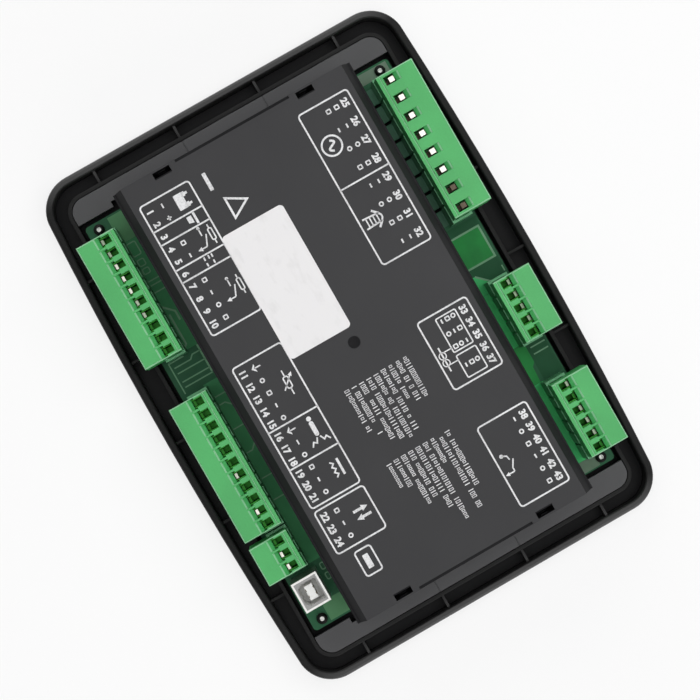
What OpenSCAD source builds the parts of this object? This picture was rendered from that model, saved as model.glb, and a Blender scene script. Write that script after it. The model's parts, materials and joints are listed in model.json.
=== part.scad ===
// Panel-mounted generator controller, lying on its front face.
// Millimetres. Z = 0 is the front plane and +Z points out of the rear.
// +X runs along the long side in reading order of the terminals, +Y towards terminals 25 to 43.

/* [Front case] */
// Overall length of the front case
case_length = 216; // [212:0.5:222]
// Overall width of the front case across the bowed long sides
case_width = 158; // [156:0.5:162]
// Radius of the four plan corners
case_corner_r = 14; // [12:0.5:16]
// How far each long side bows out between the corners
side_bow = 2.4; // [1.2:0.1:3]
// Height of the rear rim, which is the panel seat
seat_height = 11.5; // [11.2:0.1:12.2]
// Width of the rear rim
rim_width = 3; // [2.4:0.1:3.6]
// Edge chamfer on the front of the case
front_chamfer = 2.4; // [1.2:0.1:3]
// Edge rounding on the outside of the rear rim
rim_break = 1.2; // [0.3:0.1:1.4]
// Edge break on the inside of the rear rim
rim_inner_break = 0.5; // [0.2:0.1:0.7]
// Depth of the front recess that holds the fascia film
front_recess = 2.2; // [2:0.1:2.3]
// Thickness of the front plate
plate_t = 2.2; // [2:0.1:2.3]
// Width of the frame round the front recess at the short ends
border_x = 11; // [10:0.5:13]
// Width of the frame round the front recess at the long sides
border_y = 12; // [11:0.5:14]
// Thickness of the ribs across the trench behind the rim
rib_t = 1; // [0.8:0.1:1.4]
// Spacing of the trench ribs
rib_pitch = 34.7; // [33:0.1:36]
// How far the trench ribs stay below the rim
rib_drop = 2.2; // [1:0.1:3.5]

/* [Well] */
// Distance from each end of the case to the wall round the well
end_trench = 8.2; // [7.8:0.1:8.5]
// Distance from the bowed sides of the case to the wall round the well
side_trench = 10.2; // [9.8:0.1:10.5]
// Thickness of the wall round the well
wall_t = 1.5; // [1.3:0.1:1.6]
// Inside corner radius of the well
well_corner_r = 6; // [4:0.5:8]

/* [Main board] */
// How far each end of the board stays inside the end of the cover
board_inset = 1.2; // [1:0.1:1.4]
// Gap between the long edges of the board and the wall round the well
board_gap = 1.6; // [1.3:0.1:1.8]
// Thickness of the main board
board_t = 1.6; // [1.4:0.1:1.7]
// Height of the rear face of the board
board_top = 10.5; // [10.4:0.05:10.6]
// Distance of the fixing screws from the ends of the board
fix_inset_x = 3.1; // [2.8:0.1:3.2]
// Distance of the fixing screws from the long edges of the board
fix_inset_y = 4.7; // [3.7:0.1:5.7]

/* [Rear cover] */
// Length of the ledge between each end of the cover and the well wall
end_ledge = 9.6; // [9.3:0.1:9.8]
// Width of the connector bay on each side of the cover
bay_width = 18.3; // [17.8:0.1:19.3]
// Height of the cover's rear face
cover_top = 42.8; // [41.5:0.1:44]
// Wall thickness of the cover
cover_t = 2; // [1.8:0.1:2.2]
// Width of the sloping shoulder along the cover's long edges
shoulder_w = 2.8; // [2:0.1:3.4]
// Drop of the sloping shoulder
shoulder_drop = 4.2; // [3:0.1:5]
// Width of the ledge below the shoulder
ledge_w = 0.8; // [0.4:0.1:1.2]
// Thickness of the end flanges
flange_t = 2; // [1.8:0.1:2.2]
// Distance of each clip socket from the centre line
clip_y = 29.4; // [27:0.1:31]
// Length of each clip socket
clip_length = 6.8; // [6:0.1:7.6]
// Depth of each clip socket below the rear face
clip_depth = 20; // [18:0.5:22]
// Radius of the gate dimple at the centre
dimple_r = 2.4; // [1.6:0.1:3]
// Length of the blank label
label_length = 50.4; // [46:0.1:52]
// Width of the blank label
label_width = 25; // [22:0.1:26]

/* [Terminals] */
// Pole spacing of the narrow plugs
pitch = 5.08; // [5:0.01:5.1]
// Pole spacing of the wide plug
wide_pitch = 7.62; // [7.5:0.01:7.64]
// Distance of the pin rows from the long edges of the board
row_inset = 6.7; // [6.5:0.1:7.1]
// Height of the plug faces with the wire entries
plug_face = 32; // [31.5:0.1:32.6]
// Width of a plug face across the row
plug_width = 15.3; // [14.6:0.1:15.6]
// Length of a wire entry across the row
entry_depth = 3.2; // [3:0.1:3.6]
// Room kept for a fixing screw at each end of a connector row
end_room = 5.6; // [5.5:0.1:6]
// Smallest gap between neighbours in a connector row
least_gap = 0.4; // [0.3:0.05:0.6]
// Wall of a header beyond each end of its plug
header_end = 1.1; // [0.8:0.1:1.2]

/* [USB socket] */
// Length of the socket along the row
usb_length = 12; // [11.8:0.1:12.2]
// Width of the socket across the row
usb_width = 10.5; // [10.2:0.1:11]
// Distance of the socket's centre from the long edge of the board
usb_inset = 6.9; // [6.4:0.1:7.4]
// Height of the socket above the board
usb_height = 16.3; // [15:0.1:18]

/* [Front controls] */
// Diameter of the mode keys
key_d = 15; // [13:0.5:16]
// Diameter of the menu keys
menu_key_d = 10; // [8:0.5:11]
// Spacing of the mode keys
key_pitch = 28; // [24:0.5:30]
// Distance of the mode keys from the edge of the front recess
key_inset = 25; // [21:0.5:29]
// Distance of each menu key from the middle of its group
menu_step = 11.5; // [11:0.1:12]
// Height of the key faces above the front plane
key_face = 0.5; // [0.4:0.1:0.8]
// Length of the viewing area of the display
view_length = 78; // [70:0.5:80]
// Width of the viewing area of the display
view_width = 42; // [36:0.5:44]
// Distance of the display's centre from the edge of the front recess
display_inset = 47; // [45:0.5:49]
// Diameter of the indicator lights
pipe_d = 4; // [3:0.1:5]

/* [Hidden] */
$fn = 96;
e = 1;
plate_top = front_recess + plate_t;
board_bottom = board_top - board_t;
flange_top = seat_height - 0.3;
flange_bottom = flange_top - flange_t;
cover_foot = min(board_top + 0.4, flange_top - 0.3);
recess_length = case_length - 2 * border_x;
recess_width = case_width - 2 * border_y;
well_length = case_length - 2 * end_trench;
well_width = case_width - 2 * side_trench;
well_in_l = well_length - 2 * wall_t;
well_in_w = well_width - 2 * wall_t;
cover_length = well_in_l - 2 * end_ledge;
cover_width = well_in_w - 2 * bay_width;
board_length = cover_length - 2 * board_inset;
board_width = well_in_w - 2 * board_gap;
fix_x = board_length / 2 - fix_inset_x;
fix_y = board_width / 2 - fix_inset_y;
row_y = board_width / 2 - row_inset;
usb_y = usb_inset - board_width / 2;
key_row_y = key_inset - recess_width / 2;
display_y = recess_width / 2 - display_inset;
corner_x = case_length / 2 - case_corner_r;
bow_r = (corner_x * corner_x + side_bow * side_bow) / (2 * side_bow);
bow_y = case_width / 2 - bow_r;
corner_y = bow_y + sqrt(bow_r * bow_r - corner_x * corner_x) - case_corner_r + 0.02;
head_bottom = plug_face - 9;
plug_in = row_y - 3.8;
plug_out = plug_in + plug_width;
plug_bevel = 0.5 * sqrt(2);
header_in = row_y - 4.1;
header_w = 8.2;
header_top = head_bottom - 0.4;
tongue_bottom = board_top + 4.1;
screw_z = plug_face - 4.9;
socket_w = 2;
skin = 0.7;
end_step = 1.2;
notch_w = 3;
key_flange = 1.25;
lcd_border = 4.5;
lcd_half = view_length / 2 + lcd_border;
menu_x = -(lcd_half + 1 + menu_key_d / 2 + key_flange + menu_step);
light_x = lcd_half + 18;
switch_front = board_bottom - 2.1;
film_t = 0.5;
fix_head_d = 4.2;
chip_l = 14;
chip_y = 21;
relay_size = [19, 15.6, 15.5];
relay_at = [-50, -28];
relay_pitch = 24;
capacitor_d = 12.5;
capacitor_h = 20;
capacitor_at = [24, -30];
capacitor_pitch = 16;
transformer_size = [16, 16, 14];
transformer_at = [42, 30];
transformer_pitch = 20;
col_case = [0.12, 0.12, 0.13];
col_plug = [0.23, 0.66, 0.33];
col_header = [0.10, 0.42, 0.20];
col_metal = [0.78, 0.78, 0.76];

wide_trim = 1.76;
narrow = [for (n = [10, 11, 3, 5, 6]) n * pitch + 2 * header_end];
wide = 8 * wide_pitch - wide_trim + 2 * header_end;

// Lengths along each edge of the board, and how its spare length is shared out before each of them
lower_lens = [narrow[0], narrow[1], narrow[2], usb_length];
lower_shares = [0.05, 0.65, 0.005, 0.11];
upper_lens = [wide, narrow[3], narrow[4]];
upper_shares = [0.02, 0.597, 0.369];

function sum(list, n) = n <= 0 ? 0 : list[n - 1] + sum(list, n - 1);
function spare(lens) = board_length - 2 * end_room - sum(lens, len(lens)) - least_gap * (len(lens) - 1);
function place(lens, shares, i) =
  -board_length / 2 + end_room + sum(lens, i) + lens[i] / 2 + least_gap * i
  + spare(lens) * sum(shares, i + 1);

// poles, pole spacing, row centre, side of the board
conn_10 = [10, pitch, place(lower_lens, lower_shares, 0), -1];
conn_11 = [11, pitch, place(lower_lens, lower_shares, 1), -1];
conn_3 = [3, pitch, place(lower_lens, lower_shares, 2), -1];
usb_x = place(lower_lens, lower_shares, 3);
conn_8 = [8, wide_pitch, place(upper_lens, upper_shares, 0), 1];
conn_5 = [5, pitch, place(upper_lens, upper_shares, 1), 1];
conn_6 = [6, pitch, place(upper_lens, upper_shares, 2), 1];
conns = [conn_10, conn_11, conn_3, conn_8, conn_5, conn_6];

function is_wide(c) = c[1] > 6;
function plug_len(c) = c[0] * c[1] - (is_wide(c) ? wide_trim : 0);
function entry_w(c) = is_wide(c) ? 3.4 : 3.2;
function funnel_w(c) = is_wide(c) ? 3.4 : 4.3;
function room_w(c) = is_wide(c) ? 5.2 : 4;
function lead_in(c) = is_wide(c) ? 1.3 : 0.3;
function lead_top(c) = plug_face - (is_wide(c) ? 2 : 3.2);

mode_xs = [2, 1, 0, -1, -2] * key_pitch;
light_ys = [18, 7, -4, -15];

// Plain shapes

module rounded(l, w, r) {
  square([l - 2 * r, w], center = true);
  square([l, w - 2 * r], center = true);
  for (sx = [-1, 1], sy = [-1, 1])
    translate([sx * (l / 2 - r), sy * (w / 2 - r)]) circle(r);
}

module block(x0, x1, y0, y1, z0, z1) {
  translate([x0, y0, z0]) cube([x1 - x0, y1 - y0, z1 - z0]);
}

// Profile in the Y-Z plane drawn out along X, centred
module along_x(len) {
  rotate([90, 0, 90]) translate([0, 0, -len / 2]) linear_extrude(len) children();
}

module corners(x, y) {
  for (sx = [-1, 1], sy = [-1, 1]) translate([sx * x, sy * y, 0]) children();
}

// Case outline: straight ends, long sides bowed to one radius, corner arcs that run into them

module case_outline(inset) {
  intersection() {
    translate([0, bow_y]) circle(bow_r - inset, $fn = 1440);
    translate([0, -bow_y]) circle(bow_r - inset, $fn = 1440);
    union() {
      square([2 * corner_x, 2 * case_width], center = true);
      square([case_length - 2 * inset, 2 * corner_y], center = true);
      for (sx = [-1, 1], sy = [-1, 1])
        translate([sx * corner_x, sy * corner_y]) circle(case_corner_r - inset);
    }
  }
}

// The same outline with sloping sides between two heights
module case_slope(z0, z1, in0, in1) {
  h = z1 - z0;
  intersection() {
    translate([0, bow_y, z0]) cylinder(h = h, r1 = bow_r - in0, r2 = bow_r - in1, $fn = 1440);
    translate([0, -bow_y, z0]) cylinder(h = h, r1 = bow_r - in0, r2 = bow_r - in1, $fn = 1440);
    union() {
      translate([0, 0, z0]) linear_extrude(h) square([2 * corner_x, 2 * case_width], center = true);
      rotate([90, 0, 0]) translate([0, 0, -corner_y]) linear_extrude(2 * corner_y) polygon([
        [-case_length / 2 + in0, z0], [case_length / 2 - in0, z0],
        [case_length / 2 - in1, z1], [-case_length / 2 + in1, z1]
      ]);
      corners(corner_x, corner_y) translate([0, 0, z0])
        cylinder(h = h, r1 = case_corner_r - in0, r2 = case_corner_r - in1);
    }
  }
}

// Front case: rim, cored-out trench with ribs, well wall and board bosses

module case_shell() {
  difference() {
    union() {
      case_slope(0, front_chamfer, 0.8 * front_chamfer, 0);
      translate([0, 0, front_chamfer]) linear_extrude(seat_height - 1.3 * rim_break - front_chamfer)
        case_outline(0);
      case_slope(seat_height - 1.3 * rim_break, seat_height - 0.4 * rim_break, 0, 0.35 * rim_break);
      case_slope(seat_height - 0.4 * rim_break, seat_height, 0.35 * rim_break, rim_break);
    }
    translate([0, 0, plate_top]) linear_extrude(seat_height) case_outline(rim_width);
    case_slope(seat_height - rim_inner_break, seat_height + rim_inner_break,
      rim_width, rim_width - 2 * rim_inner_break);
  }
  translate([0, 0, plate_top - 0.2]) linear_extrude(flange_top - plate_top + 0.2) difference() {
    rounded(well_length, well_width, well_corner_r + wall_t);
    rounded(well_in_l, well_in_w, well_corner_r);
  }
}

module trench_ribs() {
  h = seat_height - rib_drop - plate_top;
  intersection() {
    translate([0, 0, plate_top - 0.2]) linear_extrude(h + 0.2) difference() {
      case_outline(rim_width / 2);
      rounded(well_length - wall_t, well_width - wall_t, well_corner_r + wall_t / 2);
    }
    union() {
      for (i = [-1.5, -0.5, 0.5, 1.5])
        translate([0, i * rib_pitch, 0]) cube([2 * case_length, rib_t, 60], center = true);
      for (i = [-2, -1, 0, 1, 2])
        translate([i * rib_pitch, 0, 0]) cube([rib_t, 2 * case_width, 60], center = true);
    }
  }
}

module flange_steps() {
  for (s = [-1, 1]) translate([s * (well_in_l / 2 - 1), 0, 0])
    block(-1.3, 1.3, -well_in_w / 2 + 10, well_in_w / 2 - 10, plate_top - 0.1, flange_bottom);
}

module key_layout() {
  for (x = mode_xs) translate([x, key_row_y, 0]) children(0);
  for (d = [[0, 1], [0, -1], [1, 0], [-1, 0]])
    translate([menu_x + d[0] * menu_step, display_y + d[1] * menu_step, 0]) children(1);
}

module light_layout() {
  for (y = light_ys) translate([light_x, display_y + y, 0]) children();
}

module front_openings() {
  translate([0, 0, -e]) linear_extrude(front_recess + e) rounded(recess_length, recess_width, 7);
  key_layout() {
    cylinder(h = 20, d = key_d + 0.7);
    cylinder(h = 20, d = menu_key_d + 0.7);
  }
  light_layout() cylinder(h = 20, d = pipe_d + 0.3);
  translate([0, display_y, 0]) {
    linear_extrude(20) rounded(view_length, view_width, 2);
    translate([0, 0, front_recess + 0.8]) linear_extrude(20)
      rounded(view_length + 6, view_width + 6, 3);
  }
}

module front_bezel() {
  color(col_case) difference() {
    union() {
      case_shell();
      trench_ribs();
      flange_steps();
      corners(fix_x, fix_y)
        translate([0, 0, plate_top - 0.1]) cylinder(h = board_bottom - plate_top + 0.1, d = 6.4);
    }
    front_openings();
    corners(fix_x, fix_y) translate([0, 0, plate_top + 0.4]) cylinder(h = 20, d = 2.6);
    for (sx = [-1, 1], y = [-46, 0, 46]) translate([sx * well_in_l / 2, y, 0])
      block(-0.6, 0.6, -5, 5, flange_bottom + 0.2, flange_bottom + 1.3);
  }
}

module fascia_film() {
  color([0.20, 0.21, 0.23]) translate([0, 0, front_recess - film_t]) linear_extrude(film_t)
    difference() {
      rounded(recess_length - 0.6, recess_width - 0.6, 6.7);
      key_layout() {
        circle(d = key_d + 0.7);
        circle(d = menu_key_d + 0.7);
      }
      light_layout() circle(d = pipe_d + 0.3);
      translate([0, display_y]) rounded(view_length, view_width, 2);
    }
}

module display_window() {
  color([0.6, 0.7, 0.72, 0.4]) translate([0, display_y, front_recess + 0.85]) linear_extrude(1.2)
    rounded(view_length + 5.6, view_width + 5.6, 2.8);
}

module lcd_frame() {
  color([0.85, 0.86, 0.84]) difference() {
    translate([0, display_y, plate_top + 0.2]) linear_extrude(board_bottom - plate_top - 0.2)
      rounded(2 * lcd_half, view_width + 2 * lcd_border, 2);
    translate([0, display_y, plate_top - e]) linear_extrude(2 + e)
      rounded(view_length + 4, view_width + 4, 1);
  }
}

module lcd_glass() {
  color([0.45, 0.55, 0.42]) translate([0, display_y, plate_top + 0.5]) linear_extrude(1.4)
    rounded(view_length + 3.6, view_width + 3.6, 0.8);
}

module light_pipes() {
  color([0.9, 0.9, 0.88]) light_layout() {
    translate([0, 0, front_recess - film_t]) cylinder(h = switch_front - front_recess, d = pipe_d);
    translate([0, 0, plate_top]) cylinder(h = 0.7, d = pipe_d + 2);
  }
}

module indicator_leds() {
  color([0.95, 0.9, 0.7]) light_layout() block(-1.6, 1.6, -0.9, 0.9, board_bottom - 1.2, board_bottom);
}

// Keys: cap in the plate, retaining flange behind it, short stem towards the switch

module key(d) {
  translate([0, 0, key_face]) cylinder(h = 0.5, r1 = d / 2 - 0.5, r2 = d / 2);
  translate([0, 0, key_face + 0.5]) cylinder(h = plate_top - key_face - 0.1, d = d);
  translate([0, 0, plate_top + 0.3]) cylinder(h = 0.8, d = d + 2 * key_flange);
  translate([0, 0, plate_top + 1]) cylinder(h = switch_front - plate_top - 1.8, d = 4);
}

module mode_key(i) {
  translate([mode_xs[i], key_row_y, 0]) key(key_d);
}

module menu_key(dx, dy) {
  translate([menu_x + dx * menu_step, display_y + dy * menu_step, 0]) key(menu_key_d);
}

module key_stop() { color([0.72, 0.10, 0.10]) mode_key(0); }
module key_manual() { color([0.75, 0.76, 0.78]) mode_key(1); }
module key_auto() { color([0.75, 0.76, 0.78]) mode_key(2); }
module key_mute() { color([0.75, 0.76, 0.78]) mode_key(3); }
module key_start() { color([0.12, 0.52, 0.22]) mode_key(4); }
module key_up() { color([0.75, 0.76, 0.78]) menu_key(0, 1); }
module key_down() { color([0.75, 0.76, 0.78]) menu_key(0, -1); }
module key_left() { color([0.75, 0.76, 0.78]) menu_key(1, 0); }
module key_right() { color([0.75, 0.76, 0.78]) menu_key(-1, 0); }

module tact_switch() {
  block(-3, 3, -3, 3, switch_front + 0.5, board_bottom);
  translate([0, 0, switch_front]) cylinder(h = 0.6, d = 3.4);
}

module key_switches() {
  color([0.1, 0.1, 0.1]) key_layout() {
    tact_switch();
    tact_switch();
  }
}

// Connector rows: X along the row from its centre, Y outwards from the middle of the board

module row(c) {
  translate([c[2], 0, 0]) mirror([0, c[3] > 0 ? 0 : 1, 0]) children();
}

module poles(c) {
  for (i = [0 : c[0] - 1]) translate([(i - (c[0] - 1) / 2) * c[1], 0, 0]) children();
}

module between_poles(c) {
  for (i = [0 : c[0] - 2]) translate([(i - (c[0] - 2) / 2) * c[1], 0, 0]) children();
}

module header(c) {
  l = plug_len(c);
  color(col_header) row(c) difference() {
    block(-l / 2 - header_end, l / 2 + header_end, header_in, header_in + header_w, board_top, header_top);
    block(-l / 2 - 0.2, l / 2 + 0.2, header_in + 1.3, header_in + 6.9, board_top + 3, header_top + e);
    poles(c) block(-0.55, 0.55, row_y - 0.55, row_y + 0.55, board_top - e, board_top + 5);
    between_poles(c) block(-0.5, 0.5, header_in - e, header_in + 0.7, board_top - e, header_top + e);
  }
}

module header_10() { header(conn_10); }
module header_11() { header(conn_11); }
module header_3() { header(conn_3); }
module header_8() { header(conn_8); }
module header_5() { header(conn_5); }
module header_6() { header(conn_6); }

module header_pins() {
  color(col_metal) for (c = conns) row(c) poles(c)
    block(-0.5, 0.5, row_y - 0.5, row_y + 0.5, board_bottom - 1.3, board_top + 10.5);
}

// Plug: head over the header, screw skirt outside it, tongue in it

module entry_funnel(c) {
  along_x(funnel_w(c)) polygon([
    [plug_in + 2.4 + entry_depth - 0.1, plug_face + e],
    [plug_in + 2.4 + entry_depth - 0.1, plug_face - 2.4],
    [plug_in + 2.4 + entry_depth + 3, plug_face],
    [plug_in + 2.4 + entry_depth + 3, plug_face + e]
  ]);
}

module plug(c) {
  l = plug_len(c);
  ew = entry_w(c) / 2;
  rw = room_w(c) / 2;
  color(col_plug) row(c) difference() {
    union() {
      block(-l / 2, l / 2, plug_in, plug_out, head_bottom, plug_face);
      block(-l / 2, l / 2, row_y + 4.5, plug_out, head_bottom - 5.5, head_bottom + 0.1);
      block(-l / 2 + 0.2, l / 2 - 0.2, row_y - 2.4, row_y + 2.4, tongue_bottom, head_bottom + 0.1);
    }
    poles(c) {
      block(-ew, ew, plug_in + 2.4, plug_in + 2.4 + entry_depth, plug_face - 3, plug_face + e);
      entry_funnel(c);
      block(-rw, rw, row_y - 2.1, row_y + 7.2, head_bottom + 0.6, plug_face - 1.6);
      block(-1.3, 1.3, row_y - 1.7, row_y + 1.7, tongue_bottom - e, head_bottom + e);
      translate([0, row_y + 7, screw_z]) rotate([-90, 0, 0]) cylinder(h = 9, d = 3.6);
    }
    block(-l, l, plug_in + 1.2, plug_in + 1.6, plug_face - 0.4, plug_face + e);
    translate([0, plug_out, plug_face]) rotate([45, 0, 0])
      cube([l + 2, plug_bevel, plug_bevel], center = true);
    for (s = [-1, 1]) translate([s * l / 2, row_y, plug_face]) rotate([0, 45, 0])
      cube([plug_bevel, 3 * plug_width, plug_bevel], center = true);
  }
}

module plug_10() { plug(conn_10); }
module plug_11() { plug(conn_11); }
module plug_3() { plug(conn_3); }
module plug_8() { plug(conn_8); }
module plug_5() { plug(conn_5); }
module plug_6() { plug(conn_6); }

// Rising cage: a rectangular ring that the screw draws against the contact strip
module clamps(c) {
  w = room_w(c) / 2 - 0.25;
  color(col_metal) row(c) poles(c) difference() {
    block(-w, w, row_y - 1.8, row_y + 5.4, screw_z - 1.9, screw_z + 1.8);
    block(-w + 0.55, w - 0.55, row_y - 1.1, row_y + 4.4, screw_z - 4, screw_z + 4);
    translate([0, row_y + 4, screw_z]) rotate([-90, 0, 0]) cylinder(h = 3, d = 2.1);
  }
}

module clamps_10() { clamps(conn_10); }
module clamps_11() { clamps(conn_11); }
module clamps_3() { clamps(conn_3); }
module clamps_8() { clamps(conn_8); }
module clamps_5() { clamps(conn_5); }
module clamps_6() { clamps(conn_6); }

// Contact strip: folded lead-in at the top, bridge, and two blades astride the pin
module contacts(c) {
  color([0.86, 0.85, 0.80]) row(c) poles(c) {
    block(-1, 1, row_y + 1.8, row_y + 2.6, head_bottom + 0.8, lead_top(c));
    block(-1, 1, row_y + 1.8 - lead_in(c), row_y + 2.2, lead_top(c) - 0.8, lead_top(c));
    block(-1, 1, row_y - 1.35, row_y + 2.6, head_bottom + 0.8, head_bottom + 1.6);
    block(-0.9, 0.9, row_y - 1.35, row_y - 0.95, tongue_bottom + 1.4, head_bottom + 1);
    block(-0.9, 0.9, row_y + 0.95, row_y + 1.35, tongue_bottom + 1.4, head_bottom + 1);
  }
}

module contacts_10() { contacts(conn_10); }
module contacts_11() { contacts(conn_11); }
module contacts_3() { contacts(conn_3); }
module contacts_8() { contacts(conn_8); }
module contacts_5() { contacts(conn_5); }
module contacts_6() { contacts(conn_6); }

module screws(c) {
  color(col_metal) row(c) poles(c) translate([0, row_y + 3.05, screw_z]) rotate([-90, 0, 0])
    difference() {
      union() {
        cylinder(h = 5.2, d = 2);
        translate([0, 0, 5]) cylinder(h = 2.4, d = 3.2);
      }
      block(-2, 2, -0.3, 0.3, 6.6, 8);
    }
}

module screws_10() { screws(conn_10); }
module screws_11() { screws(conn_11); }
module screws_3() { screws(conn_3); }
module screws_8() { screws(conn_8); }
module screws_5() { screws(conn_5); }
module screws_6() { screws(conn_6); }

// Board with pin holes, fixing holes and the slots that part the wide row

module main_board() {
  color([0.05, 0.35, 0.16]) difference() {
    translate([0, 0, board_bottom]) linear_extrude(board_t) rounded(board_length, board_width, 1.5);
    for (c = conns) row(c) poles(c)
      translate([0, row_y, board_bottom - e]) cylinder(h = board_t + 2 * e, d = 1.7);
    corners(fix_x, fix_y) translate([0, 0, board_bottom - e]) cylinder(h = board_t + 2 * e, d = 2.9);
    row(conn_8) between_poles(conn_8)
      block(-0.6, 0.6, row_y - 8.6, row_y - 3.9, board_bottom - e, board_top + e);
  }
}

module board_screws() {
  color([0.62, 0.62, 0.62]) corners(fix_x, fix_y) difference() {
    union() {
      translate([0, 0, plate_top + 0.8]) cylinder(h = board_top - plate_top - 0.7, d = 2.5);
      translate([0, 0, board_top]) cylinder(h = 0.9, d = fix_head_d);
      translate([0, 0, board_top + 0.9]) cylinder(h = 0.5, d1 = fix_head_d, d2 = fix_head_d - 1.6);
    }
    for (a = [0, 90]) rotate([0, 0, a]) block(-0.8, 0.8, -0.3, 0.3, board_top + 0.6, board_top + 3);
  }
}

module on_board(at, dx) {
  translate([at[0] + dx, at[1], board_top]) children();
}

module brick(size) {
  translate([-size[0] / 2, -size[1] / 2, 0]) cube(size);
}

module processor() {
  color([0.08, 0.08, 0.09]) translate([0, chip_y, 0])
    block(-chip_l / 2, chip_l / 2, -chip_l / 2, chip_l / 2, board_top, board_top + 1.4);
}

module output_relays() {
  color([0.10, 0.16, 0.34]) for (i = [-0.5, 0.5])
    on_board(relay_at, i * relay_pitch) brick(relay_size);
}

module power_capacitors() {
  color([0.10, 0.10, 0.14]) for (i = [-1, 0, 1])
    on_board(capacitor_at, i * capacitor_pitch) cylinder(h = capacitor_h, d = capacitor_d);
}

module sensing_transformers() {
  color([0.16, 0.16, 0.17]) for (i = [-1, 0, 1])
    on_board(transformer_at, i * transformer_pitch) brick(transformer_size);
}

// USB type B socket standing on the board

module usb_place() {
  translate([usb_x, usb_y, board_top]) children();
}

module usb_cavity() {
  polygon([[-4.25, 3.9], [-4.25, -2.4], [-2.8, -3.9], [2.8, -3.9], [4.25, -2.4], [4.25, 3.9]]);
}

module usb_room(in, z0) {
  l = usb_length / 2 - in;
  w = usb_width / 2 - in;
  block(-l, l, -w, w, z0, usb_height - in);
}

module usb_shell() {
  color([0.80, 0.80, 0.80]) usb_place() difference() {
    block(-usb_length / 2, usb_length / 2, -usb_width / 2, usb_width / 2, 0, usb_height);
    usb_room(0.4, -e);
    translate([0, 0, usb_height - 2]) linear_extrude(4) usb_cavity();
  }
}

module usb_insert() {
  color([0.92, 0.92, 0.90]) usb_place() {
    difference() {
      usb_room(0.45, 0);
      translate([0, 0, usb_height - 9.6]) linear_extrude(12) usb_cavity();
    }
    difference() {
      block(-2.8, 2.8, -1.5, 1.7, usb_height - 9.8, usb_height - 1);
      for (s = [-1, 1], x = [-1.25, 1.25])
        translate([x, 0.1 + s * 1.6, 0]) block(-0.5, 0.5, -0.25, 0.25, usb_height - 8, usb_height);
    }
  }
}

module usb_contacts() {
  color([0.80, 0.68, 0.36]) usb_place() for (s = [-1, 1], x = [-1.25, 1.25])
    translate([x, 0.1 + s * 1.6, 0])
      block(-0.45, 0.45, s > 0 ? -0.24 : -0.02, s > 0 ? 0.02 : 0.24, usb_height - 7.9, usb_height - 1.6);
}

// Rear cover: raised block with sloping shoulders, end flanges and clip sockets

module cover_profile(in, z0) {
  w = cover_width / 2 - in;
  foot = w - ledge_w;
  edge = foot - shoulder_w;
  top = cover_top - in;
  ledge = top - shoulder_drop;
  polygon([
    [-w, z0], [w, z0], [w, ledge], [foot, ledge], [edge, top],
    [-edge, top], [-foot, ledge], [-w, ledge]
  ]);
}

module end_flange() {
  x0 = board_length / 2 + 0.5;
  bay_end = board_length / 2 + 1.8;
  difference() {
    intersection() {
      translate([0, 0, flange_bottom]) linear_extrude(flange_t)
        rounded(well_in_l - 0.5, well_in_w - 0.5, well_corner_r - 0.25);
      block(x0, case_length, -case_width, case_width, 0, 60);
    }
    for (s = [-1, 1]) {
      translate([0, s * (cover_width / 2 + 30), 0]) block(0, bay_end, -30, 30, 0, 60);
      translate([0, s * (cover_width + notch_w) / 2, 0])
        block(0, bay_end + 2.2, -notch_w / 2, notch_w / 2, 0, 60);
      translate([0, s * rib_pitch / 2, 0])
        block(cover_length / 2 + 0.6, case_length, -0.22, 0.22, flange_top - 0.4, 60);
    }
  }
  for (y = [-46, 0, 46]) translate([well_in_l / 2, y, 0])
    block(-0.6, 0.25, -4.5, 4.5, flange_bottom + 0.4, flange_bottom + 1.1);
}

module clip_boss() {
  block(cover_length / 2 - skin - socket_w - 1.2, cover_length / 2 - 0.1,
    -clip_length / 2 - 1.2, clip_length / 2 + 1.2, cover_top - clip_depth - 1.5, cover_top - 0.5);
}

module clip_socket() {
  outer = cover_length / 2 - skin;
  block(outer - socket_w, outer, -clip_length / 2, clip_length / 2, cover_top - clip_depth, cover_top + e);
  translate([0, clip_length / 2, 0]) rotate([90, 0, 0]) linear_extrude(clip_length) polygon([
    [outer - socket_w - skin - 0.1, cover_top + 0.1], [outer - socket_w + 0.1, cover_top + 0.1],
    [outer - socket_w + 0.1, cover_top - skin - 0.1]
  ]);
  for (z = [5, 11, 17])
    block(outer - e, outer + 3, -1.6, 1.6, cover_top - z - 1.1, cover_top - z + 1.1);
}

module rear_cover() {
  color([0.22, 0.22, 0.23]) difference() {
    union() {
      difference() {
        along_x(cover_length) cover_profile(0, cover_foot);
        along_x(cover_length - 2 * cover_t) cover_profile(cover_t, 0);
      }
      for (s = [0, 1]) mirror([s, 0, 0]) end_flange();
      for (s = [0, 1]) mirror([s, 0, 0]) for (t = [-1, 1]) translate([0, t * clip_y, 0]) clip_boss();
    }
    for (s = [0, 1]) mirror([s, 0, 0]) for (t = [-1, 1]) translate([0, t * clip_y, 0]) clip_socket();
    for (s = [-1, 1]) translate([s * cover_length / 2, 0, 0])
      block(-end_step, end_step, 6 - clip_y, clip_y - 6, cover_top - 1.2, cover_top + e);
    translate([0, 0, cover_top + 3.6]) sphere(r = sqrt(3.6 * 3.6 + dimple_r * dimple_r));
  }
}

module blank_label() {
  color([0.93, 0.93, 0.92]) translate([-30.8, -10.3, cover_top]) linear_extrude(0.2)
    rounded(label_length, label_width, 1.6);
}

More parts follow.
